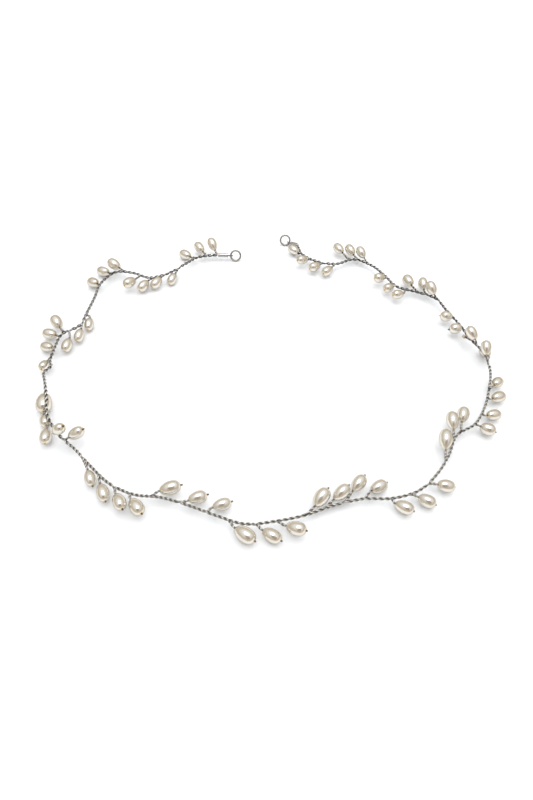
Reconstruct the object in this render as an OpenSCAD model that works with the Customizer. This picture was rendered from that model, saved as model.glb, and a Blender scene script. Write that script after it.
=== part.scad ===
// Hair vine: a twisted silver wire, bent into an open crown, with rice pearls on short
// twisted stems, a tube crimp at each end and a small ring beyond each crimp.
// Lengths are millimetres and angles are degrees. X runs right and Y away from the viewer,
// as in the photo, and Z up from the table on which the vine lies.

/* [Wire] */
// Thickness of the two strands that are twisted into the vine
vine_d = 1.1; // [0.8:0.05:1.6]
// Thickness of a stem's two twisted strands
stem_d = 1.05; // [0.8:0.05:1.6]
// Thickness of the two strands where they run through a pearl
core_d = 0.7; // [0.4:0.05:1]
// Width of the fold of wire that stops a pearl at its tip
fold_d = 1.3; // [1.1:0.05:1.8]
// Height of that fold
fold_h = 0.8; // [0.4:0.1:1.6]

/* [Pearls] */
// Greatest width of an average pearl
pearl_w = 4.5; // [3:0.1:8]
// Length of an average pearl
pearl_l = 6.8; // [4:0.1:12]
// Share of the length, from the stem, where a pearl is widest
pearl_widest = 0.55; // [0.4:0.01:0.65]
// Radius of the arc along a pearl's side, as a share of its width
pearl_side = 1.15; // [0.9:0.05:2]
// Diameter of the hole along a pearl
pearl_bore = 1.0; // [0.7:0.05:1.4]

/* [Left end] */
// Length of the left crimp tube
crimp_left_l = 5.0; // [2:0.1:8]
// How far the left ring leans up from lying flat
ring_left_lean = 56; // [0:1:90]
// Turn of the left eye around its ring, from the ring's right side
eye_left_turn = 180; // [0:1:360]

/* [Right end] */
// Length of the right crimp tube
crimp_right_l = 3.6; // [2:0.1:8]
// How far the right ring leans up from lying flat
ring_right_lean = 56; // [0:1:90]
// Turn of the right eye around its ring, from the ring's right side
eye_right_turn = 328; // [0:1:360]

/* [Crimps and rings] */
// Outer diameter of a crimp tube
crimp_d = 2.0; // [1.6:0.1:4]
// Wall of a crimp tube
crimp_wall = 0.3; // [0.2:0.05:0.6]
// Outer diameter of an end ring
ring_d = 5.9; // [4:0.1:12]
// Wire thickness of an end ring
ring_wire = 0.9; // [0.6:0.1:2]
// Wire thickness of the eye that holds a ring
eye_wire = 0.6; // [0.4:0.1:1.2]

/* [Clearances] */
// Gap between the wire and what it runs through or what it stops
gap = 0.15; // [0.1:0.01:0.4]
// Gap all round between a ring and the eye that holds it
ring_gap = 0.2; // [0.1:0.05:0.6]

/* [Hidden] */
// Sides of the vine's tube, and of a stem
vine_sides = 8;
stem_sides = 6;
// Rings of the tube between two route points
steps = 3;

// Where the vine's wire is bent, from the left crimp round the front to the right crimp,
// chosen against the photo: [across, away, up]
route = [
    [-25.5, 70.5, 3], [-35, 68.5, 3], [-41, 61, 4], [-48, 53.5, 4], [-57, 49.5, 4],
    [-66, 53.5, 4], [-75, 54, 4], [-80, 44, 4.5], [-80.5, 34, 4.5], [-81.5, 24, 4.5],
    [-83, 13.5, 4.5], [-89.5, 8.5, 4], [-90.5, 0, 4], [-90, -8.5, 4.5], [-88.5, -12.5, 5],
    [-90, -16.5, 5.5], [-87, -24, 7], [-84.5, -31.5, 6.5], [-82.5, -39, 5], [-76.5, -47, 4], [-69, -53.5, 4],
    [-62, -60.5, 4], [-54, -67.5, 3.5], [-45, -71.5, 3], [-35.5, -73, 3.5],
    [-26, -76, 3.5], [-16.5, -79.5, 3], [-7, -82.5, 3], [3, -81.5, 3], [13, -79, 2.5],
    [22.5, -75.5, 2.5], [32.5, -73, 2.5], [42.5, -73, 3], [52, -70, 3], [59.5, -63.5, 3],
    [65.5, -55.5, 3], [70.5, -46.5, 3], [78.5, -41.5, 3.5], [84.5, -33, 3.5], [88.5, -24, 4],
    [91.5, -14.5, 4.5], [91, -5, 5.5], [88.5, 5.5, 4], [86.5, 15, 3.5], [83, 25, 3.5],
    [80, 34.5, 3], [72, 39.5, 3], [63, 43, 3.5], [58.5, 52, 3.5], [53.5, 61, 3],
    [45, 66.5, 3], [35.5, 62.5, 3], [26.5, 64.5, 3], [19, 71.5, 2.5], [16.5, 80.5, 2.5]
];
// Where the middle of each end ring is
ring_left_at = [-16, 70.5, 2.5];
ring_right_at = [10, 85, 2.5];
// Moves the vine so that its middle is over the origin and its lowest pearl at zero
mid = [1.75, 1.33, 0.025];

// The pearls of each spray, one row a pearl. The columns say how far along the vine a stem
// leaves, the stem's way seen from above, its rise and its length, then the way the pearl
// points and its rise, its size against an average pearl, and how long it is for its size.
LEAVES = 0;
STEM_WAY = 1;
STEM_RISE = 2;
STEM_LENGTH = 3;
WAY = 4;
RISE = 5;
SIZE = 6;
LONG = 7;
left_1 = [
    [0, 115, 20, 3, 115, 25, 1.05, 1.05], [5, 130, 5, 4, 125, 10, 1.05, 1],
    [11, 165, 0, 3.5, 140, -5, 1.1, 0.95]
];
left_2 = [
    [24, 250, -10, 4, 250, -15, 1, 1.05], [32, 235, 0, 3.5, 240, -10, 1.05, 1],
    [38, 225, -5, 3.5, 240, -10, 1.05, 1], [45, 240, 5, 4.5, 235, 5, 1.1, 0.95]
];
left_3 = [
    [54, 140, 5, 4, 145, 10, 1.15, 0.95], [60, 160, -10, 3, 150, -10, 1.1, 0.95],
    [70, 170, -15, 2, 140, -15, 1.1, 0.95]
];
left_4 = [
    [93, 320, -25, 2.5, 270, -15, 0.95, 1.05], [99, 275, -10, 3.5, 265, -15, 0.95, 1.05],
    [106, 285, -5, 5, 265, -10, 1, 1.05]
];
left_5 = [
    [108, 130, -5, 5, 125, 10, 1.1, 0.95], [111, 150, -10, 2.5, 160, -5, 1.05, 0.95],
    [119, 140, -10, 1.5, 155, -15, 1, 0.95], [124, 220, -30, 3, 265, 10, 0.9, 0.85]
];
left_6 = [
    [142, 270, -40, 5, 280, -5, 1.35, 0.95], [154, 240, -50, 4.5, 295, 0, 0.9, 0.95],
    [162, 240, -35, 3, 280, 0, 1, 1]
];
left_7 = [
    [168, 270, 55, 3, 0, 40, 0.9, 0.95], [173, 55, -5, 2, 10, 30, 1, 1]
];
front_1 = [
    [184, 300, -5, 6, 295, -10, 0.9, 1.05], [194, 290, -5, 4, 295, -5, 1, 1.05],
    [202, 290, 5, 3.5, 300, 5, 1, 1], [208, 290, 5, 3, 310, 5, 1.05, 1]
];
front_2 = [
    [216, 40, 5, 3, 15, 5, 1.1, 1], [226, 15, 0, 3, 20, 0, 1, 0.95],
    [236, 45, 0, 2.5, 20, 0, 0.95, 1]
];
front_3 = [
    [244, 305, 0, 3.5, 325, 0, 1.15, 1], [253, 315, -5, 3, 330, -5, 1, 1],
    [260, 325, 5, 3.5, 340, 10, 1.05, 0.95]
];
front_4 = [
    [270, 45, 10, 4, 50, 15, 1.1, 1], [277, 45, 10, 4, 40, 15, 1, 1.05],
    [284, 55, 5, 5, 50, 10, 1, 1.05], [291, 50, 0, 4, 30, 0, 1, 0.95]
];
front_5 = [
    [300, 295, -10, 2, 330, 5, 1, 0.95], [307, 335, -5, 2.5, 330, 0, 1, 0.9],
    [315, 345, 10, 3, 355, -10, 1, 0.9]
];
right_1 = [
    [327, 80, 10, 4.5, 80, 15, 1.1, 1.1], [337, 80, 15, 5, 85, 10, 1.05, 1.05],
    [343, 75, 5, 4.5, 70, 10, 1, 1]
];
right_2 = [
    [350, 335, -10, 2, 330, 0, 1.05, 0.8], [356, 345, -5, 2, 15, -10, 0.95, 0.95],
    [365, 0, -5, 2, 25, -10, 1, 0.95], [370, 40, -5, 3.5, 45, -10, 0.95, 0.9]
];
right_3 = [
    [384, 110, 40, 3.5, 85, 25, 0.95, 1], [387, 50, -30, 4.5, 100, -5, 0.95, 0.95],
    [396, 110, 50, 2, 115, 25, 1, 0.95]
];
right_4 = [
    [408, 220, 40, 1.5, 180, -10, 1.05, 0.75], [414, 140, 20, 2, 170, 0, 1.05, 0.75]
];
right_5 = [
    [429, 125, 25, 3.5, 110, 25, 1.05, 1], [436, 95, 0, 4, 90, 15, 1, 1],
    [440, 115, 5, 5.5, 110, 5, 1.1, 0.9]
];
right_6 = [
    [446, 240, 5, 4.5, 205, 10, 1, 0.85], [451, 190, 5, 2, 220, 5, 1, 0.8],
    [458, 185, 10, 2, 205, 15, 1.05, 0.8]
];
right_7 = [
    [474, 110, 15, 3.5, 115, 20, 1, 1.05], [479, 115, 5, 4.5, 115, 10, 1.05, 1],
    [484, 115, 5, 6.5, 120, 5, 1.05, 1]
];
right_8 = [
    [492, 235, 0, 4, 230, 0, 1.05, 0.95], [498, 220, 5, 3, 220, 5, 1.05, 0.95],
    [504, 190, 10, 3, 210, 15, 1, 0.95], [513, 205, 10, 2, 130, 5, 1.05, 0.95]
];
// The bare stem that carries a seed bead: [along, way, rise, length]
seed_stem = [399, 130, -5, 4];

all_pearls = concat(left_1, left_2, left_3, left_4, left_5, left_6, left_7,
    front_1, front_2, front_3, front_4, front_5,
    right_1, right_2, right_3, right_4, right_5, right_6, right_7, right_8);

// A smooth curve through the route's points
bends = len(route) - 1;
function stop(i) = mid + route[i];
function before(i) = i > 0 ? stop(i - 1) : 2 * stop(0) - stop(1);
function after(i) = i < bends - 1 ? stop(i + 2) : 2 * stop(i + 1) - stop(i);
function bend(a, b, c, d, u) =
    (2 * b + (c - a) * u + (2 * a - 5 * b + 4 * c - d) * u * u
    + (3 * b - a - 3 * c + d) * u * u * u) / 2;
line = [for (k = [0:bends * steps])
    let(i = min(floor(k / steps), bends - 1))
    bend(before(i), stop(i), stop(i + 1), after(i), k / steps - i)];
function pace(k) = k > 0 && k < len(line) ? norm(line[k] - line[k - 1]) : 0;
far = [for (k = 0, s = 0; k < len(line); k = k + 1, s = s + pace(k)) s];
function along(s) = [for (axis = [0:2])
    lookup(s, [for (k = [0:len(line) - 1]) [far[k], line[k][axis]]])];
function unit(v) = v / norm(v);
function way(yaw, rise) = [cos(rise) * cos(yaw), cos(rise) * sin(yaw), sin(rise)];

// A round tube of the given sides swept through points, with flat ends
module swept(points, d, sides) {
    n = len(points);
    rings = [for (k = [0:n - 1])
        let(run = unit(points[min(k + 1, n - 1)] - points[max(k - 1, 0)]),
            side = unit(cross([0, 0, 1], run)), up = cross(run, side))
        for (j = [0:sides - 1])
            points[k] + d / 2 * (cos(360 * j / sides) * side + sin(360 * j / sides) * up)];
    polyhedron(rings, concat(
        [[for (j = [0:sides - 1]) j]],
        [[for (j = [sides - 1:-1:0]) (n - 1) * sides + j]],
        [for (k = [0:n - 2]) for (j = [0:sides - 1])
            let(a = k * sides + j, b = k * sides + (j + 1) % sides)
            [a, a + sides, b + sides, b]]));
}

// Turns X to point along a way
module point_along(v) {
    rotate([0, 0, atan2(v[1], v[0])])
        rotate([0, -asin(v[2] / norm(v)), 0])
            children();
}

// A straight piece of wire from one point to another
module rod(a, b, d) {
    translate(a)
        point_along(b - a)
            rotate([0, 90, 0])
                cylinder(d = d, h = norm(b - a), $fn = stem_sides);
}

function stem_way(p) = way(p[STEM_WAY], p[STEM_RISE]);
function stem_end(p) = along(p[LEAVES]) + p[STEM_LENGTH] * stem_way(p);
function pearl_way(p) = way(p[WAY], p[RISE]);
function pearl_length(p) = pearl_l * p[SIZE] * p[LONG];

// A stem from the vine to its pearl, the strands through the pearl and the fold at its tip
module stem(p) {
    hull() {
        translate(along(p[LEAVES]))
            point_along(stem_way(p))
                rotate([0, 90, 0])
                    cylinder(d = stem_d, h = 0.2, $fn = stem_sides);
        translate(stem_end(p))
            point_along(pearl_way(p))
                translate([-0.5 - gap, 0, 0])
                    rotate([0, 90, 0])
                        cylinder(d = stem_d, h = 0.5, $fn = stem_sides);
    }
    translate(stem_end(p))
        point_along(pearl_way(p)) {
            translate([-0.5 - gap, 0, 0])
                rotate([0, 90, 0])
                    cylinder(d = core_d, h = pearl_length(p) + 0.7 + 2 * gap, $fn = stem_sides);
            translate([pearl_length(p) + gap, 0, 0])
                rotate([0, 90, 0])
                    cylinder(d1 = fold_d, d2 = fold_d * 0.6, h = fold_h, $fn = stem_sides);
        }
}

// Half a pearl's outline, to be turned about its length. Two round ends meet the side arc.
module pearl_outline(w, l) {
    side = pearl_side * w;
    inset = side - w / 2;
    low = l * pearl_widest;
    high = l - low;
    // How far each end's arc centre is from the widest place, so that the arcs meet smoothly
    low_at = (inset * inset - pow(side - low, 2)) / (2 * (side - low));
    high_at = (inset * inset - pow(side - high, 2)) / (2 * (side - high));
    low_r = low - low_at;
    high_r = high - high_at;
    low_cut = side * low_at / norm([inset, low_at]);
    high_cut = side * high_at / norm([inset, high_at]);
    difference() {
        intersection() {
            union() {
                translate([0, low - low_at])
                    circle(r = low_r, $fn = 96);
                translate([0, low + high_at])
                    circle(r = high_r, $fn = 96);
                intersection() {
                    translate([-inset, low])
                        circle(r = side, $fn = 180);
                    translate([0, low - low_cut])
                        square([w, low_cut + high_cut]);
                }
            }
            translate([0, -1])
                square([w, l + 2]);
        }
        translate([-w, -1])
            square([w + pearl_bore / 2, l + 2]);
    }
}

module pearl(w, l) {
    rotate([0, 90, 0])
        rotate_extrude($fn = 96)
            pearl_outline(w, l);
}

module spray(rows) {
    color([0.93, 0.89, 0.85])
        for (p = rows)
            translate(stem_end(p))
                point_along(pearl_way(p))
                    pearl(pearl_w * p[SIZE], pearl_length(p));
}

// The middle line of an end ring
ring_r = (ring_d - ring_wire) / 2;
eye_r = ring_wire / 2 + ring_gap + eye_wire / 2;
// The eye's middle is on the ring's middle line
function ring_point(at, lean, turn) =
    at + ring_r * [cos(turn), sin(turn) * cos(lean), sin(turn) * sin(lean)];
eye_left_at = ring_point(mid + ring_left_at, ring_left_lean, eye_left_turn);
eye_right_at = ring_point(mid + ring_right_at, ring_right_lean, eye_right_turn);
// The side of each eye that faces its crimp
function eye_edge(eye, target) = eye + eye_r * unit(target - eye);
edge_left = eye_edge(eye_left_at, stop(0));
edge_right = eye_edge(eye_right_at, stop(bends));

module eye(at, lean, turn) {
    translate(at)
        rotate([lean, 0, 0])
            rotate([0, 0, turn])
                rotate([90, 0, 0])
                    rotate_extrude($fn = 20)
                        translate([eye_r, 0])
                            circle(d = eye_wire, $fn = stem_sides);
}

module vine_wire() {
    color([0.72, 0.71, 0.68])
        union() {
            swept(line, vine_d, vine_sides);
            rod(edge_left, stop(0), vine_d);
            rod(edge_right, stop(bends), vine_d);
            eye(eye_left_at, ring_left_lean, eye_left_turn);
            eye(eye_right_at, ring_right_lean, eye_right_turn);
            for (p = all_pearls)
                stem(p);
            hull() {
                translate(along(seed_stem[0]))
                    sphere(d = stem_d * 0.8, $fn = stem_sides);
                translate(along(seed_stem[0]) + seed_stem[3] * way(seed_stem[1], seed_stem[2]))
                    sphere(d = stem_d * 0.8, $fn = stem_sides);
            }
        }
}

// A crimp tube over the wire between the eye and the vine's first bend
module crimp(from, to, length) {
    color([0.8, 0.8, 0.79])
        translate((from + to) / 2)
            point_along(to - from)
                rotate([0, 90, 0])
                    difference() {
                        cylinder(d = crimp_d, h = length, center = true, $fn = 48);
                        cylinder(d = crimp_d - 2 * crimp_wall, h = length + 1, center = true, $fn = 48);
                    }
}

module end_ring(at, lean) {
    color([0.72, 0.71, 0.68])
        translate(at)
            rotate([lean, 0, 0])
                rotate_extrude($fn = 96)
                    translate([ring_r, 0])
                        circle(d = ring_wire, $fn = 32);
}

module crimp_left() {
    crimp(edge_left, stop(0), crimp_left_l);
}

module crimp_right() {
    crimp(edge_right, stop(bends), crimp_right_l);
}

module end_ring_left() {
    end_ring(mid + ring_left_at, ring_left_lean);
}

module end_ring_right() {
    end_ring(mid + ring_right_at, ring_right_lean);
}

module pearls_left_1() { spray(left_1); }
module pearls_left_2() { spray(left_2); }
module pearls_left_3() { spray(left_3); }
module pearls_left_4() { spray(left_4); }
module pearls_left_5() { spray(left_5); }
module pearls_left_6() { spray(left_6); }
module pearls_left_7() { spray(left_7); }
module pearls_front_1() { spray(front_1); }
module pearls_front_2() { spray(front_2); }
module pearls_front_3() { spray(front_3); }
module pearls_front_4() { spray(front_4); }
module pearls_front_5() { spray(front_5); }
module pearls_right_1() { spray(right_1); }
module pearls_right_2() { spray(right_2); }
module pearls_right_3() { spray(right_3); }
module pearls_right_4() { spray(right_4); }
module pearls_right_5() { spray(right_5); }
module pearls_right_6() { spray(right_6); }
module pearls_right_7() { spray(right_7); }
module pearls_right_8() { spray(right_8); }

vine_wire();
crimp_left();
crimp_right();
end_ring_left();
end_ring_right();
pearls_left_1();
pearls_left_2();
pearls_left_3();
pearls_left_4();
pearls_left_5();
pearls_left_6();
pearls_left_7();
pearls_front_1();
pearls_front_2();
pearls_front_3();
pearls_front_4();
pearls_front_5();
pearls_right_1();
pearls_right_2();
pearls_right_3();
pearls_right_4();
pearls_right_5();
pearls_right_6();
pearls_right_7();
pearls_right_8();
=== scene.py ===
# Looks of the hair vine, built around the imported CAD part. The tables repeat the part's own
# numbers in millimetres, and the meshes are made in metres in the same frame.
import math
import random

import bpy
import numpy as np
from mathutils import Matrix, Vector


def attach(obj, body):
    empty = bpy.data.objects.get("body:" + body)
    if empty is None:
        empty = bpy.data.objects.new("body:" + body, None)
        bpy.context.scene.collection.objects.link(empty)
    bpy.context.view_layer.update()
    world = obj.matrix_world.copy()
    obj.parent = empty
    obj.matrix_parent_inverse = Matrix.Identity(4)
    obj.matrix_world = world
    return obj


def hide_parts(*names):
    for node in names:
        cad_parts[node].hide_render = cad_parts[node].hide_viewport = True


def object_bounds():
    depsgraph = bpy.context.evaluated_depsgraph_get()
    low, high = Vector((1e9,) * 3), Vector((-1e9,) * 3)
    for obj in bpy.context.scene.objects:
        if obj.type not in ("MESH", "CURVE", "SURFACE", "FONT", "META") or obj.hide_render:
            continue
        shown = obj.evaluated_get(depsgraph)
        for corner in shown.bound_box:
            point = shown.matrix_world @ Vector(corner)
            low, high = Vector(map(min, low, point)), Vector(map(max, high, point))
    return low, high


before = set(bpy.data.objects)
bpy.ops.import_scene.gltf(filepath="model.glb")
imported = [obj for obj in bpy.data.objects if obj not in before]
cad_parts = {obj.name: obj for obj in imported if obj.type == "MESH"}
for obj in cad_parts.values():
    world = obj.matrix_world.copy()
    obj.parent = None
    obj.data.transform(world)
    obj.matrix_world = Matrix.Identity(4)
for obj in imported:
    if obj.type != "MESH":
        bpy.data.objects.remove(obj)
cad_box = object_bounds()

MM = 0.001

# The part's own numbers: where the vine's wire is bent, the pearls and the end rings
MID = np.array([1.75, 1.33, 0.025])
ROUTE = MID + np.array([
    (-25.5, 70.5, 3), (-35, 68.5, 3), (-41, 61, 4), (-48, 53.5, 4), (-57, 49.5, 4),
    (-66, 53.5, 4), (-75, 54, 4), (-80, 44, 4.5), (-80.5, 34, 4.5), (-81.5, 24, 4.5),
    (-83, 13.5, 4.5), (-89.5, 8.5, 4), (-90.5, 0, 4), (-90, -8.5, 4.5), (-88.5, -12.5, 5),
    (-90, -16.5, 5.5), (-87, -24, 7), (-84.5, -31.5, 6.5), (-82.5, -39, 5), (-76.5, -47, 4),
    (-69, -53.5, 4), (-62, -60.5, 4), (-54, -67.5, 3.5), (-45, -71.5, 3), (-35.5, -73, 3.5),
    (-26, -76, 3.5), (-16.5, -79.5, 3), (-7, -82.5, 3), (3, -81.5, 3), (13, -79, 2.5),
    (22.5, -75.5, 2.5), (32.5, -73, 2.5), (42.5, -73, 3), (52, -70, 3), (59.5, -63.5, 3),
    (65.5, -55.5, 3), (70.5, -46.5, 3), (78.5, -41.5, 3.5), (84.5, -33, 3.5), (88.5, -24, 4),
    (91.5, -14.5, 4.5), (91, -5, 5.5), (88.5, 5.5, 4), (86.5, 15, 3.5), (83, 25, 3.5),
    (80, 34.5, 3), (72, 39.5, 3), (63, 43, 3.5), (58.5, 52, 3.5), (53.5, 61, 3),
    (45, 66.5, 3), (35.5, 62.5, 3), (26.5, 64.5, 3), (19, 71.5, 2.5), (16.5, 80.5, 2.5),
], float)
ROUTE_STEPS = 3
PEARL_W, PEARL_L, PEARL_WIDEST, PEARL_SIDE = 4.5, 6.8, 0.55, 1.15
RING_LEFT_AT = MID + np.array([-16, 70.5, 2.5])
RING_RIGHT_AT = MID + np.array([10, 85, 2.5])
RING_D, RING_WIRE, RING_GAP, EYE_WIRE, RING_LEAN = 5.9, 0.9, 0.2, 0.6, 56
EYE_LEFT_TURN, EYE_RIGHT_TURN = 180, 328

# One row a pearl: where its stem leaves the vine, the stem's way, rise and length, the
# pearl's way and rise, its size and how long it is for its size
SPRAYS = {
    "left_1": [(0, 115, 20, 3, 115, 25, 1.05, 1.05), (5, 130, 5, 4, 125, 10, 1.05, 1),
               (11, 165, 0, 3.5, 140, -5, 1.1, 0.95)],
    "left_2": [(24, 250, -10, 4, 250, -15, 1, 1.05), (32, 235, 0, 3.5, 240, -10, 1.05, 1),
               (38, 225, -5, 3.5, 240, -10, 1.05, 1), (45, 240, 5, 4.5, 235, 5, 1.1, 0.95)],
    "left_3": [(54, 140, 5, 4, 145, 10, 1.15, 0.95), (60, 160, -10, 3, 150, -10, 1.1, 0.95),
               (70, 170, -15, 2, 140, -15, 1.1, 0.95)],
    "left_4": [(93, 320, -25, 2.5, 270, -15, 0.95, 1.05),
               (99, 275, -10, 3.5, 265, -15, 0.95, 1.05),
               (106, 285, -5, 5, 265, -10, 1, 1.05)],
    "left_5": [(108, 130, -5, 5, 125, 10, 1.1, 0.95), (111, 150, -10, 2.5, 160, -5, 1.05, 0.95),
               (119, 140, -10, 1.5, 155, -15, 1, 0.95), (124, 220, -30, 3, 265, 10, 0.9, 0.85)],
    "left_6": [(142, 270, -40, 5, 280, -5, 1.35, 0.95), (154, 240, -50, 4.5, 295, 0, 0.9, 0.95),
               (162, 240, -35, 3, 280, 0, 1, 1)],
    "left_7": [(168, 270, 55, 3, 0, 40, 0.9, 0.95), (173, 55, -5, 2, 10, 30, 1, 1)],
    "front_1": [(184, 300, -5, 6, 295, -10, 0.9, 1.05), (194, 290, -5, 4, 295, -5, 1, 1.05),
                (202, 290, 5, 3.5, 300, 5, 1, 1), (208, 290, 5, 3, 310, 5, 1.05, 1)],
    "front_2": [(216, 40, 5, 3, 15, 5, 1.1, 1), (226, 15, 0, 3, 20, 0, 1, 0.95),
                (236, 45, 0, 2.5, 20, 0, 0.95, 1)],
    "front_3": [(244, 305, 0, 3.5, 325, 0, 1.15, 1), (253, 315, -5, 3, 330, -5, 1, 1),
                (260, 325, 5, 3.5, 340, 10, 1.05, 0.95)],
    "front_4": [(270, 45, 10, 4, 50, 15, 1.1, 1), (277, 45, 10, 4, 40, 15, 1, 1.05),
                (284, 55, 5, 5, 50, 10, 1, 1.05), (291, 50, 0, 4, 30, 0, 1, 0.95)],
    "front_5": [(300, 295, -10, 2, 330, 5, 1, 0.95), (307, 335, -5, 2.5, 330, 0, 1, 0.9),
                (315, 345, 10, 3, 355, -10, 1, 0.9)],
    "right_1": [(327, 80, 10, 4.5, 80, 15, 1.1, 1.1), (337, 80, 15, 5, 85, 10, 1.05, 1.05),
                (343, 75, 5, 4.5, 70, 10, 1, 1)],
    "right_2": [(350, 335, -10, 2, 330, 0, 1.05, 0.8), (356, 345, -5, 2, 15, -10, 0.95, 0.95),
                (365, 0, -5, 2, 25, -10, 1, 0.95), (370, 40, -5, 3.5, 45, -10, 0.95, 0.9)],
    "right_3": [(384, 110, 40, 3.5, 85, 25, 0.95, 1), (387, 50, -30, 4.5, 100, -5, 0.95, 0.95),
                (396, 110, 50, 2, 115, 25, 1, 0.95)],
    "right_4": [(408, 220, 40, 1.5, 180, -10, 1.05, 0.75),
                (414, 140, 20, 2, 170, 0, 1.05, 0.75)],
    "right_5": [(429, 125, 25, 3.5, 110, 25, 1.05, 1), (436, 95, 0, 4, 90, 15, 1, 1),
                (440, 115, 5, 5.5, 110, 5, 1.1, 0.9)],
    "right_6": [(446, 240, 5, 4.5, 205, 10, 1, 0.85), (451, 190, 5, 2, 220, 5, 1, 0.8),
                (458, 185, 10, 2, 205, 15, 1.05, 0.8)],
    "right_7": [(474, 110, 15, 3.5, 115, 20, 1, 1.05), (479, 115, 5, 4.5, 115, 10, 1.05, 1),
                (484, 115, 5, 6.5, 120, 5, 1.05, 1)],
    "right_8": [(492, 235, 0, 4, 230, 0, 1.05, 0.95), (498, 220, 5, 3, 220, 5, 1.05, 0.95),
                (504, 190, 10, 3, 210, 15, 1, 0.95), (513, 205, 10, 2, 130, 5, 1.05, 0.95)],
}
# The bare stem that carries the seed bead: where it leaves the vine, its way, rise and length
SEED_STEM = (399, 130, -5, 4)

# Directions, and places along the vine
UP = np.array([0.0, 0.0, 1.0])
HEADING_STEP = 0.2


def unit(v):
    return v / np.linalg.norm(v)


def way(yaw, rise):
    y, r = math.radians(yaw), math.radians(rise)
    return np.array([math.cos(r) * math.cos(y), math.cos(r) * math.sin(y), math.sin(r)])


def across(run):
    """The two directions square to a run: one level, one upwards."""
    side = unit(np.cross(UP, run))
    return side, np.cross(run, side)


def route_at(t):
    """The smooth curve through the route's points, at t points from its start."""
    i = min(max(int(t), 0), len(ROUTE) - 2)
    u = t - i
    b, c = ROUTE[i], ROUTE[i + 1]
    a = ROUTE[i - 1] if i > 0 else 2 * b - c
    d = ROUTE[i + 2] if i + 2 < len(ROUTE) else 2 * c - b
    return (2 * b + (c - a) * u + (2 * a - 5 * b + 4 * c - d) * u * u
            + (3 * b - a - 3 * c + d) * u ** 3) / 2


KNOTS = np.array([route_at(k / ROUTE_STEPS) for k in range((len(ROUTE) - 1) * ROUTE_STEPS + 1)])
FAR = np.concatenate([[0], np.cumsum(np.linalg.norm(np.diff(KNOTS, axis=0), axis=1))])
VINE_LENGTH = FAR[-1]


def along(s):
    """The point of the vine that lies s along it from the left crimp."""
    return route_at(float(np.interp(s, FAR, np.arange(len(FAR)))) / ROUTE_STEPS)


def heading(s):
    return unit(along(min(s + HEADING_STEP, VINE_LENGTH)) - along(max(s - HEADING_STEP, 0)))


def hermite(p0, d0, p1, d1, u):
    return ((2 * u ** 3 - 3 * u ** 2 + 1) * p0 + (u ** 3 - 2 * u ** 2 + u) * d0
            + (3 * u ** 2 - 2 * u ** 3) * p1 + (u ** 3 - u ** 2) * d1)


# Meshes
def add_object(name, data):
    o = bpy.data.objects.new(name, data)
    bpy.context.scene.collection.objects.link(o)
    return o


def add_flat(name, corners, material):
    """A flat face of the surroundings, in metres."""
    mesh = bpy.data.meshes.new(name)
    mesh.from_pydata(corners, [], [tuple(range(len(corners)))])
    mesh.materials.append(material)
    return add_object(name, mesh)


class Build:
    """Gathers vertices, faces and per-vertex values of one piece, in millimetres."""

    def __init__(self):
        self.verts, self.faces, self.values = [], [], {}

    def add(self, verts, faces, **values):
        base = len(self.verts)
        self.verts.extend(verts)
        self.faces.extend([tuple(base + i for i in f) for f in faces])
        for name, v in values.items():
            self.values.setdefault(name, []).extend(v)

    def piece(self, name, material):
        mesh = bpy.data.meshes.new(name)
        # Nothing stands out past the part's own box
        verts = np.clip(MM * np.array(self.verts), cad_box[0], cad_box[1])
        mesh.from_pydata([tuple(v) for v in verts], [], self.faces)
        for key, v in self.values.items():
            mesh.attributes.new(key, "FLOAT", "POINT").data.foreach_set("value", v)
        mesh.validate()
        mesh.polygons.foreach_set("use_smooth", [True] * len(mesh.polygons))
        mesh.materials.append(material)
        mesh.update()
        return add_object(name, mesh)


def ring_faces(rows, sides, closed):
    """Faces between rows of points, the last row joined to the first if closed."""
    return [(k * sides + j, k * sides + (j + 1) % sides,
             (k + 1) % rows * sides + (j + 1) % sides, (k + 1) % rows * sides + j)
            for k in range(rows if closed else rows - 1) for j in range(sides)]


def tube(path, radius, sides):
    """Vertices and faces of a round wire along a path, its ring turned as little as may be."""
    path = np.asarray(path, float)
    n = len(path)
    radius = np.broadcast_to(radius, n)
    ahead = np.vstack([path[1:], 2 * path[-1] - path[-2]])
    behind = np.vstack([2 * path[0] - path[1], path[:-1]])
    run = ahead - behind
    run /= np.linalg.norm(run, axis=1)[:, None]
    side = across(run[0])[0]
    sides_at = []
    for k in range(n):
        side = unit(side - run[k] * (side @ run[k]))
        sides_at.append(side)
    sides_at = np.array(sides_at)
    ups = np.cross(run, sides_at)
    a = 2 * math.pi * np.arange(sides) / sides
    verts = (path[:, None] + radius[:, None, None] * (np.cos(a)[:, None] * sides_at[:, None]
             + np.sin(a)[:, None] * ups[:, None])).reshape(-1, 3)
    ends = [tuple(range(sides))[::-1], tuple((n - 1) * sides + j for j in range(sides))]
    return list(verts), ring_faces(n, sides, False) + ends


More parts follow.
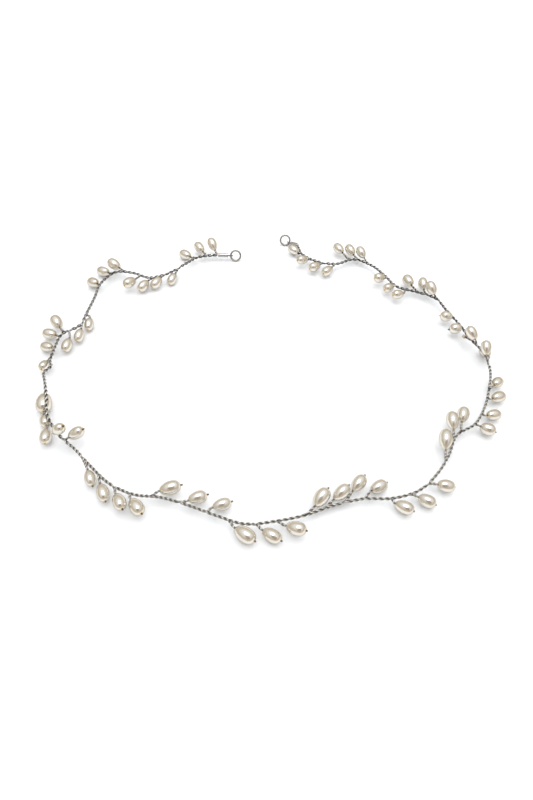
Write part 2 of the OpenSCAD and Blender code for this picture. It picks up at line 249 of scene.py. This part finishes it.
# Materials
class Nodes:
    """A short way to fill the node tree of a material or of the world."""

    def __init__(self, owner):
        owner.use_nodes = True
        self.tree = owner.node_tree
        self.tree.nodes.clear()

    def __call__(self, kind, inputs=None, **settings):
        """Adds a node, whose inputs are numbers, colours or the sockets that feed them."""
        n = self.tree.nodes.new("ShaderNode" + kind)
        for k, v in settings.items():
            setattr(n, k, v)
        for k, v in (inputs or {}).items():
            self.feed(n.inputs[k], v)
        return n

    def feed(self, socket, v):
        if isinstance(v, bpy.types.NodeSocket):
            self.tree.links.new(v, socket)
        elif socket.type == "RGBA":
            socket.default_value = (*v, 1)
        else:
            socket.default_value = v

    def ramp(self, fac, stops):
        """A colour ramp, its stops given lowest first."""
        n = self("ValToRGB", {"Fac": fac})
        elements = n.color_ramp.elements
        for k, (at, colour) in enumerate(stops):
            e = elements[k] if k < 2 else elements.new(at)
            e.position = at
            e.color = (*colour, 1)
        return n.outputs["Color"]

    def maths(self, operation, *values):
        n = self("Math", operation=operation)
        for socket, v in zip(n.inputs, values):
            self.feed(socket, v)
        return n.outputs[0]

    def mix(self, fac, a, b):
        """Mixes two colours, which are the Mix node's inputs 6 and 7."""
        return self("Mix", {0: fac, 6: a, 7: b}, data_type="RGBA").outputs[2]

    def attribute(self, name):
        return self("Attribute", attribute_name=name).outputs["Fac"]

    def noise(self, scale, **inputs):
        at = self("TexCoord").outputs["Object"]
        return self("TexNoise", {"Vector": at, "Scale": scale, **inputs}).outputs["Fac"]


def pearl_material():
    m = bpy.data.materials.new("pearl_nacre")
    n = Nodes(m)
    cloud = n.noise(260.0, Detail=3.0, Roughness=0.6)
    grain = n.noise(2600.0, Detail=2.0)
    ivory = n.mix(n.attribute("tone"), (0.775, 0.745, 0.675), (0.78, 0.74, 0.655))
    nacre = n.mix(n.maths("MULTIPLY", cloud, 0.45), ivory, (0.82, 0.81, 0.80))
    # The stain round a hole is broken up by the grain
    blotch = n.maths("MULTIPLY_ADD", grain, 0.6, 0.35)
    stain = n.maths("MULTIPLY", n.attribute("hole"), blotch)
    colour = n.mix(stain, nacre, (0.74, 0.55, 0.28))
    bump = n("Bump", {"Height": grain, "Strength": 0.06, "Distance": 0.00004})
    wave = n("Bump", {"Height": cloud, "Strength": 0.35, "Distance": 0.00015,
                      "Normal": bump.outputs["Normal"]})
    b = n("BsdfPrincipled", {
        "Base Color": colour, "Roughness": n.maths("MULTIPLY_ADD", cloud, 0.10, 0.17),
        "Normal": wave.outputs["Normal"], "Metallic": 0.82, "Specular Tint": (0.36, 0.27, 0.12),
        "Coat Weight": 0.06, "Coat Roughness": 0.06, "Coat IOR": 1.53})
    n("OutputMaterial", {"Surface": b.outputs[0]})
    return m


def wire_material(name, light, dark, rough, deep=None):
    """Metal from dark tarnish to light plate. Deep is the colour of the painted shade in the
    twist's grooves, under the strands and towards the front, and of the eyes' darker tone.
    """
    m = bpy.data.materials.new(name)
    n = Nodes(m)
    tarnish = n.noise(900.0, Detail=4.0, Roughness=0.65)
    scratch = n.noise(6000.0, Detail=2.0)
    colour = n.ramp(tarnish, [(0.24, dark), (0.46, light)])
    if deep:
        # Painted shade: the deep colour goes into the twist's grooves, under the strands and
        # towards the front; the eyes' darker tone rides on the first mix
        colour = n.mix(n.attribute("groove"), colour, deep)
        colour = n.mix(n.attribute("front_shade"), colour, deep)
    bump = n("Bump", {"Height": scratch, "Strength": 0.12, "Distance": 0.00003})
    b = n("BsdfPrincipled", {
        "Base Color": colour, "Roughness": n.maths("MULTIPLY_ADD", tarnish, -0.14, rough + 0.07),
        "Normal": bump.outputs["Normal"], "Metallic": 0.6})
    n("OutputMaterial", {"Surface": b.outputs[0]})
    return m


def cloudy_material(name, noise, low, high, **inputs):
    """A matt surface whose colour drifts between two stops of a noise."""
    m = bpy.data.materials.new(name)
    n = Nodes(m)
    scale, detail = noise
    colour = n.ramp(n.noise(scale, Detail=detail), [low, high])
    b = n("BsdfPrincipled", {"Base Color": colour,
                             **{k.replace("_", " "): v for k, v in inputs.items()}})
    n("OutputMaterial", {"Surface": b.outputs[0]})
    return m


NACRE = pearl_material()
# The last colour is that of the silver's painted shade
SILVER = wire_material("silver_wire", (0.97, 0.94, 0.885), (0.36, 0.33, 0.28), 0.20,
                       (0.03, 0.025, 0.02))
RING = wire_material("ring_wire", (0.36, 0.34, 0.31), (0.05, 0.042, 0.035), 0.20)
CHROME = wire_material("crimp_metal", (0.44, 0.43, 0.41), (0.20, 0.19, 0.175), 0.18)
BEAD = cloudy_material("seed_bead_glass", (1200.0, 3.0), (0.35, (0.50, 0.42, 0.28)),
                       (0.7, (0.66, 0.58, 0.42)), Roughness=0.42, Subsurface_Weight=0.15,
                       Subsurface_Scale=0.0004)
TABLE = cloudy_material("white_table", (40.0, 2.0), (0.3, (0.93, 0.94, 0.95)),
                        (0.7, (0.95, 0.96, 0.97)), Roughness=0.75, Specular_IOR_Level=0.1)

# The pearls: points round a pearl and rows along its skin, and the radius of its hole
PEARL_SIDES, PEARL_ROWS = 44, 30
HOLE_R = 0.37
# The rows inside the hole, at each tip: how deep they lie, and their radius
HOLE_ROWS = ((0.20, 0.1), (0.14, 0.8 * HOLE_R), (0.03, HOLE_R + 0.03))
# The skin's least radius past the hole's
SKIN_LEAST = 0.02
# How far from the hole the stain goes, and how fast it fades
STAIN_REACH, STAIN_FADE = 0.32, 1.3
# Least and most of what makes a pearl uneven, as shares of its radius and length: a flatter
# side, two lobes, and dents that run round it
FLAT, LOBE = (0.01, 0.035), (0.0, 0.012)
DENTS, DENT_AT, DENT_WIDTH, DENT_DEPTH = 3, (0.2, 0.8), (0.02, 0.05), (0.002, 0.008)
SEED_OF_PEARLS = 64


def pearl_length(row):
    return PEARL_L * row[6] * row[7]


def pearl_profile(w, l):
    """Radius of a pearl at a place along it, as in the part's source, and its two tips."""
    side = PEARL_SIDE * w
    inset = side - w / 2
    low = l * PEARL_WIDEST
    high = l - low
    low_at = (inset ** 2 - (side - low) ** 2) / (2 * (side - low))
    high_at = (inset ** 2 - (side - high) ** 2) / (2 * (side - high))
    low_r, high_r = low - low_at, high - high_at
    low_cut = side * low_at / math.hypot(inset, low_at)
    high_cut = side * high_at / math.hypot(inset, high_at)

    def radius(x):
        if x < low - low_cut:
            return math.sqrt(max(low_r ** 2 - (x - low_r) ** 2, 0))
        if x > low + high_cut:
            return math.sqrt(max(high_r ** 2 - (x - l + high_r) ** 2, 0))
        return math.sqrt(side ** 2 - (x - low) ** 2) - inset

    start = low_r - math.sqrt(low_r ** 2 - HOLE_R ** 2)
    end = l - high_r + math.sqrt(high_r ** 2 - HOLE_R ** 2)
    return radius, start, end


def pearl(build, row, rng):
    """A drilled rice pearl, a little uneven, inside the part's own pearl."""
    leaves, stem_yaw, stem_rise, stem_length, yaw, rise, size, _ = row
    length = pearl_length(row)
    base = along(leaves) + stem_length * way(stem_yaw, stem_rise)
    x_axis = way(yaw, rise)
    y_axis, z_axis = across(x_axis)
    radius, start, end = pearl_profile(PEARL_W * size, length)
    flat_turn, lobe_turn = rng.uniform(0, 2 * math.pi), rng.uniform(0, 2 * math.pi)
    flat, lobe = rng.uniform(*FLAT), rng.uniform(*LOBE)
    dents = [(rng.uniform(*DENT_AT), rng.uniform(*DENT_WIDTH), rng.uniform(*DENT_DEPTH))
             for _ in range(DENTS)]
    outline = [(start + deep, r, 1.0) for deep, r in HOLE_ROWS]
    for k in range(1, PEARL_ROWS):
        x = start + (end - start) * (1 - math.cos(math.pi * k / PEARL_ROWS)) / 2
        near = min(x - start, end - x)
        outline.append((x, radius(x), max(0.0, 1 - near / STAIN_REACH) ** STAIN_FADE))
    outline.extend([(end - deep, r, 1.0) for deep, r in HOLE_ROWS[::-1]])
    verts, hole = [], []
    for k, (x, r, stain) in enumerate(outline):
        t = x / length
        body = math.sin(math.pi * min(max(t, 0), 1))
        skin = len(HOLE_ROWS) <= k < len(outline) - len(HOLE_ROWS)
        for j in range(PEARL_SIDES):
            a = 2 * math.pi * j / PEARL_SIDES
            here = r
            if skin:
                f = 1.0
                f -= flat * (0.5 + 0.5 * math.cos(a - flat_turn)) * body
                f -= lobe * (0.5 + 0.5 * math.cos(2 * a - lobe_turn)) * body
                for at, width, depth in dents:
                    f -= (depth * math.exp(-((t - at) / width) ** 2)
                          * (0.7 + 0.3 * math.cos(a - lobe_turn)))
                here = max(r * f, HOLE_R + SKIN_LEAST)
            verts.append(base + x * x_axis
                         + here * (math.cos(a) * y_axis + math.sin(a) * z_axis))
            hole.append(stain)
    faces = [(b, a, d, c) for a, b, c, d in ring_faces(len(outline), PEARL_SIDES, True)]
    build.add(verts, faces, hole=hole, tone=[rng.random()] * len(verts))


rng = random.Random(SEED_OF_PEARLS)
for name, rows in SPRAYS.items():
    build = Build()
    for row in rows:
        pearl(build, row, rng)
    o = build.piece("rice_pearls_" + name, NACRE)
    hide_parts("pearls_" + name)
    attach(o, "root")

# The twisted wire: thickness of a strand, and of the strand that folds over at a pearl's tip
STRAND, FOLD_STRAND = 0.60, 0.34
STRAND_SIDES, END_SIDES = 10, 8
VINE_STEP = 0.3
# The twist is tight at the front and looser at the back: place, pitch, strand off the axis
TWISTS = np.array([(0, 5.0, 0.44), (90, 5.0, 0.44), (128, 4.5, 0.42), (168, 4.5, 0.40),
                   (184, 3.6, 0.36), (222, 3.4, 0.33), (262, 4.2, 0.31), (322, 4.2, 0.32),
                   (378, 3.7, 0.37), (404, 4.4, 0.39), (462, 4.8, 0.43), (526, 4.9, 0.44)])
TURN_STEP = 0.5
TURN_AT = np.arange(0, VINE_LENGTH + 2, TURN_STEP)
TURNS = np.cumsum(TURN_STEP / np.interp(TURN_AT, TWISTS[:, 0], TWISTS[:, 1]))
# How much of the vine a strand leaves out, either side of where it turns off into a stem
STEM_ROOM = 0.45
# A stem's strands: how far off its axis they lie, there and in the pearl, and their pitch
STEM_TWIST, BORE_TWIST, STEM_PITCH = 0.30, 0.18, 2.7
# A stem's curve: the share of it where the strand joins, its step and least points, how
# strongly it keeps to the stem's way and to the pearl's, and how far short of the pearl it ends
STEM_FROM, STEM_STEP, STEM_LEAST = 0.12, 0.25, 6
STEM_START_PULL, STEM_END_PULL, STEM_SHORT = 1.1, 0.9, 0.15
# Where the strand's points in the pearl start, how many they are, and how many the fold has
BORE_FROM, BORE_POINTS, FOLD_POINTS = 0.3, 5, 11
# Points at each end of a stem's strand that are smoothed into the vine's
STEM_FREE = 4
# How far the fold stands out at the tips where the photo shows it, and at the others
FOLDS = {"left_7": (0.35, 0.40), "front_1": (0.15, 0.15, 0.30, 0.20),
         "front_2": (0.42, 0.38, 0.38), "front_3": (0.18, 0.22, 0.20),
         "front_4": (0.35, 0.20, 0.30, 0.30), "front_5": (0.0, 0.0, 0.0),
         "right_1": (-0.08, -0.08, -0.08), "right_2": (0.0, 0.05, 0.10, 0.25),
         "right_3": (-0.08, 0.0, -0.08), "right_4": (0.25, 0.10)}
FOLD_OUT, SEED_FOLD_OUT = -0.4, -0.35
SEED_D = 1.7

# Painted shade that darkens the silver towards the front: how dark, up to where, and over how
# much it clears
FRONT_SHADE_FROM, FRONT_SHADE_OVER, FRONT_SHADE_MOST = -60, 90, 0.46
# Where the painted shade in the twist's grooves begins and over how much it deepens, at the front
# and at the back
GROOVE_EDGE, GROOVE_OVER = (0.95, 1.00), (0.75, 0.28)
# How dark the painted groove shade gets, and the two places away from the viewer that this is for
GROOVE_MOST, GROOVE_AT = (0.82, 1.0), (-60, -35)
# Painted shade on the strands' sides and undersides: how dark it is at the front and at the back,
# the rise where it begins, and over how much it deepens
UNDER_DARK = (0.10, 1.0)
UNDER_FROM, UNDER_OVER = 0.85, 0.40


def vine_strand(s, k):
    """The place of strand k of the vine's two, at s along the vine."""
    side, up = across(heading(s))
    a = 2 * math.pi * np.interp(s, TURN_AT, TURNS) + math.pi * k
    off = np.interp(s, TWISTS[:, 0], TWISTS[:, 2])
    return along(s) + off * (math.cos(a) * side + math.sin(a) * up)


def stem_loop(leaves, stem_way, length, pearl_way, through, out):
    """One strand's way from the vine up a stem, through what it carries, over and back: its
    path, its radius at each point, and the axis that it twists round."""
    start = along(leaves)
    end = start + length * stem_way
    points = max(STEM_LEAST, int(length / STEM_STEP))
    line = np.array([
        hermite(start, stem_way * length * STEM_START_PULL,
                end - STEM_SHORT * pearl_way, pearl_way * length * STEM_END_PULL, u)
        for u in np.linspace(STEM_FROM, 1, points)])
    run = np.gradient(line, axis=0)
    run /= np.linalg.norm(run, axis=1)[:, None]
    gone = np.concatenate([[0], np.cumsum(np.linalg.norm(np.diff(line, axis=0), axis=1))])
    half_turns = max(1, round(2 * gone[-1] / STEM_PITCH))
    offsets = []
    side = -heading(leaves)
    for k in range(len(line)):
        side = unit(side - run[k] * (side @ run[k]))
        up = np.cross(run[k], side)
        a = math.pi * half_turns * gone[k] / gone[-1]
        size = STEM_TWIST + (BORE_TWIST - STEM_TWIST) * gone[k] / gone[-1]
        offsets.append(size * (math.cos(a) * side + math.sin(a) * up))
    offsets = np.array(offsets)
    last = offsets[-1] / BORE_TWIST
    last = unit(last - pearl_way * (last @ pearl_way))
    inside = [end + x * pearl_way for x in np.linspace(BORE_FROM, through + out, BORE_POINTS)]
    over = [end + (through + out) * pearl_way
            + BORE_TWIST * (math.cos(a) * last + math.sin(a) * pearl_way)
            for a in np.linspace(0, math.pi, FOLD_POINTS)[1:-1]]
    centres = [*line, *inside, *[inside[-1]] * len(over), *inside[::-1], *line[::-1]]
    there = [*(line + offsets), *[q + BORE_TWIST * last for q in inside]]
    back = [*[q - BORE_TWIST * last for q in inside[::-1]], *(line - offsets)[::-1]]
    thick = [STRAND / 2] * (len(line) - 1)
    thin = [FOLD_STRAND / 2] * (2 * len(inside) + len(over))
    neck = (STRAND + FOLD_STRAND) / 4
    return [*there, *over, *back], [*thick, neck, *thin, neck, *thick], centres


def groove(verts, centres, sides):
    """The painted shade of each point of a strand: 0 where it lies outermost, and up to 1
    in the twist's groove and on its underside."""
    verts, centres = np.array(verts), np.repeat(centres, sides, 0)
    strand = np.repeat(verts.reshape(-1, sides, 3).mean(1), sides, 0)
    off = np.linalg.norm(strand - centres, axis=1)
    out = (np.linalg.norm(verts - centres, axis=1) - off) / (STRAND / 2)
    back = np.clip((verts[:, 1] - FRONT_SHADE_FROM) / FRONT_SHADE_OVER, 0, 1)
    edge, over, under = (a + (b - a) * back for a, b in (GROOVE_EDGE, GROOVE_OVER, UNDER_DARK))
    most = np.interp(verts[:, 1], GROOVE_AT, GROOVE_MOST)
    turned = verts - centres
    rise = turned[:, 2] / np.maximum(np.linalg.norm(turned, axis=1), 0.01)
    low = under * np.clip((UNDER_FROM - rise) / UNDER_OVER, 0, 1)
    return np.maximum(most * np.clip((edge - out) / over, 0, 1), low)


def relax(path, keep, rounds):
    """Smooths a path, apart from the points to keep and its two ends."""
    path = np.array(path)
    keep = np.array(keep)
    for _ in range(rounds):
        smooth = path.copy()
        smooth[1:-1] = (path[:-2] + 2 * path[1:-1] + path[2:]) / 4
        path = np.where(keep[:, None], path, smooth)
    return path


seed_way = way(SEED_STEM[1], SEED_STEM[2])
stems = [(SEED_STEM[0], seed_way, SEED_STEM[3] - SEED_D / 2, seed_way, SEED_D, SEED_FOLD_OUT)]
for name, rows in SPRAYS.items():
    for row, out in zip(rows, FOLDS.get(name, (FOLD_OUT,) * len(rows))):
        stems.append((row[0], way(row[1], row[2]), row[3], way(row[4], row[5]),
                      pearl_length(row), out))
stems.sort(key=lambda stem: stem[0])

# Each strand runs along the vine and turns off into every second stem
wire = Build()
for k in (0, 1):
    path, keep, radii, centres = [], [], [], []
    mine = stems[k::2]
    s = 0.0
    while s < VINE_LENGTH:
        if mine and s >= mine[0][0] - STEM_ROOM:
            stem = mine.pop(0)
            loop, thickness, middle = stem_loop(*stem)
            n = len(loop)
            path.extend(loop)
            radii.extend(thickness)
            centres.extend(middle)
            keep.extend([STEM_FREE <= i < n - STEM_FREE for i in range(n)])
            s = max(s, stem[0] + STEM_ROOM)
            continue
        path.append(vine_strand(s, k))
        keep.append(False)
        radii.append(STRAND / 2)
        centres.append(along(s))
        s += VINE_STEP
    verts, faces = tube(relax(path, keep, 2), np.array(radii), STRAND_SIDES)
    # Painted shade in the twist's grooves and under the strands
    wire.add(verts, faces, groove=groove(verts, centres, STRAND_SIDES))

# The crimped ends: both strands run on through the crimp, and one loop of wire holds the ring
RING_R = (RING_D - RING_WIRE) / 2
EYE_R = RING_WIRE / 2 + RING_GAP + EYE_WIRE / 2
# The single strand of an eye is as dark as the ring that it holds
EYE_DARK = 0.85
# The loop's points go round the ring's wire from one leg to the other, in degrees
EYE_LOOP = (38, 322, 22)
# Half the gap between the legs, or between the strands in the crimp
LEG_OFF = 0.24
# The legs' points, from the eye into the crimp, and the strands', from the vine into it
LEG_AT = (0.5, 1.0, 1.8)
CRIMP_IN, CRIMP_SHORT = (0.6, 1.2), 0.8


def ring_frame(turn):
    """The way out to a point of an end ring, and the ring's own way at that point."""
    c, s = math.cos(math.radians(turn)), math.sin(math.radians(turn))
    lean = math.radians(RING_LEAN)
    return (np.array([c, s * math.cos(lean), s * math.sin(lean)]),
            np.array([-s, c * math.cos(lean), c * math.sin(lean)]))


for at, turn, s_end, onward in ((RING_LEFT_AT, EYE_LEFT_TURN, 0.0, VINE_STEP),
                                (RING_RIGHT_AT, EYE_RIGHT_TURN, VINE_LENGTH, -VINE_STEP)):
    outward, axis = ring_frame(turn)
    eye = at + RING_R * outward
    stop = along(s_end)
    axis = unit(axis)
    towards = unit(stop - eye)
    flat = unit(towards - axis * (towards @ axis))
    other = np.cross(axis, flat)
    # The loop goes round the ring's wire and both its legs run into the crimp
    loop = [eye + EYE_R * (math.cos(a) * flat + math.sin(a) * other)
            for a in np.radians(np.linspace(*EYE_LOOP))]
    mouth = eye + EYE_R * towards
    leg = [mouth + x * towards for x in LEG_AT]
    path = [*[q + LEG_OFF * other for q in leg[::-1]], *loop, *[q - LEG_OFF * other for q in leg]]
    verts, faces = tube(relax(path, [False] * len(path), 1), EYE_WIRE / 2, STRAND_SIDES)
    wire.add(verts, faces, groove=[EYE_DARK] * len(verts))
    # Both strands go on from the vine's end into the crimp
    inward = unit(mouth - stop)
    for k, off in ((0, LEG_OFF), (1, -LEG_OFF)):
        off = off * unit(np.cross(inward, UP))
        path = [vine_strand(s_end + onward, k), vine_strand(s_end, k),
                *[stop + x * inward + off for x in CRIMP_IN],
                mouth - CRIMP_SHORT * inward + off]
        verts, faces = tube(path, STRAND / 2, END_SIDES)
        wire.add(verts, faces, groove=[0.0] * len(verts))
# Painted shade: the wire is darkened towards the front
wire.values["front_shade"] = [FRONT_SHADE_MOST * (1 - min(max((v[1] - FRONT_SHADE_FROM) / FRONT_SHADE_OVER, 0), 1))
                      for v in wire.verts]
o = wire.piece("twisted_wire", SILVER)
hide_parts("vine_wire")
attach(o, "root")

# The seed bead: its outline is a ring of rows round the hole
BEAD_ROWS, BEAD_SIDES = 16, 28
BEAD_HOLE_R, BEAD_ROOM, BEAD_TALL = 0.5, 0.02, 0.78
seed_at = along(SEED_STEM[0]) + SEED_STEM[3] * seed_way
bead = Build()
y_axis, z_axis = across(seed_way)
tall, wide = SEED_D * BEAD_TALL / 2, (SEED_D / 2 - BEAD_HOLE_R) / 2
outline = [(tall * math.sin(a), BEAD_HOLE_R + BEAD_ROOM + wide * (1 - math.cos(a)))
           for a in (2 * math.pi * (k + 0.5) / BEAD_ROWS for k in range(BEAD_ROWS))]
bead.add([seed_at + x * seed_way + r * (math.cos(b) * y_axis + math.sin(b) * z_axis)
          for x, r in outline for b in np.linspace(0, 2 * math.pi, BEAD_SIDES, endpoint=False)],
         ring_faces(BEAD_ROWS, BEAD_SIDES, True))
o = bead.piece("seed_bead", BEAD)
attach(o, "root")

# The CAD nodes that stay, in their own metal
for name, metal in (("crimp_left", CHROME), ("crimp_right", CHROME),
                    ("end_ring_left", RING), ("end_ring_right", RING)):
    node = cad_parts[name]
    node.data.materials.clear()
    node.data.materials.append(metal)

# The table
table = add_flat("table", [(-4, -4, 0), (4, -4, 0), (4, 6, 0), (-4, 6, 0)], TABLE)


def area_light(name, at, size, power, glossy):
    """A round lamp that points at the vine, and is for reflections alone or for the rest."""
    data = bpy.data.lights.new(name, "AREA")
    data.shape = "ELLIPSE"
    data.size, data.size_y = size
    data.energy = power
    o = add_object(name, data)
    o.location = at
    o.rotation_euler = (-Vector(at)).to_track_quat("-Z", "Y").to_euler()
    o.visible_glossy = glossy
    o.visible_diffuse = not glossy


# The lamp that shines in the pearls, and the wide cloth round it that lights the table
area_light("softbox_over", (-0.04, 0.03, 1.0), (0.56, 0.46), 4.1, True)
area_light("cloth_over", (0.12, 0.16, 1.0), (1.8, 1.7), 8.8, False)

# The dark of the camera and its stand, a disc that only reflections see: how far it is and
# how high it stands, as seen from the vine, and its radius
STAND_FAR, STAND_UP, STAND_R, STAND_SIDES = 0.6, 46, 0.25, 24
view = Vector((0, -math.cos(math.radians(STAND_UP)), math.sin(math.radians(STAND_UP))))
right = Vector((1, 0, 0))
lift = view.cross(right)
dark = bpy.data.materials.new("camera_dark")
nodes = Nodes(dark)
surface = nodes("BsdfPrincipled", {"Base Color": (0.24, 0.16, 0.08), "Roughness": 0.9})
nodes("OutputMaterial", {"Surface": surface.outputs[0]})
shade = add_flat("camera_dark", [
    tuple(STAND_FAR * view + STAND_R * (math.cos(a) * right + math.sin(a) * lift))
    for a in np.linspace(0, 2 * math.pi, STAND_SIDES, endpoint=False)], dark)
shade.visible_camera = shade.visible_shadow = shade.visible_diffuse = False

# The tent round the table. Reflections see warm walls and a bright cloth overhead, and on
# the table the walls' light is white
world = bpy.data.worlds.new("studio")
bpy.context.scene.world = world
nodes = Nodes(world)
direction = nodes("TexCoord").outputs["Generated"]
height = nodes("SeparateXYZ", {"Vector": direction}).outputs["Z"]
warm = nodes.ramp(height, [(0.0, (0.60, 0.48, 0.32)), (0.42, (0.56, 0.47, 0.34)),
                           (0.70, (0.78, 0.77, 0.75)), (0.86, (0.90, 0.91, 0.92)),
                           (1.0, (0.92, 0.93, 0.94))])
plain = nodes.ramp(height, [(0.0, (0.55, 0.56, 0.58)), (0.68, (0.84, 0.84, 0.85)),
                            (1.0, (0.92, 0.92, 0.92))])
mirrored = nodes("LightPath").outputs["Is Glossy Ray"]
walls = nodes("Background", {"Color": nodes.mix(mirrored, plain, warm), "Strength": 1.0})
nodes("OutputWorld", {"Surface": walls.outputs[0]})

camera = bpy.data.cameras.new("photo_camera")
camera.sensor_fit = "VERTICAL"
camera.sensor_height = 36
camera.lens = 23.4
camera.clip_start = 0.01
camera_object = add_object("photo_camera", camera)
camera_object.location = (0.00175, -0.16167, 0.157025)
camera_object.rotation_euler = (math.radians(41), 0, 0)
bpy.context.scene.camera = camera_object
bpy.context.scene.view_settings.view_transform = "Standard"
bpy.context.scene.view_settings.look = "None"
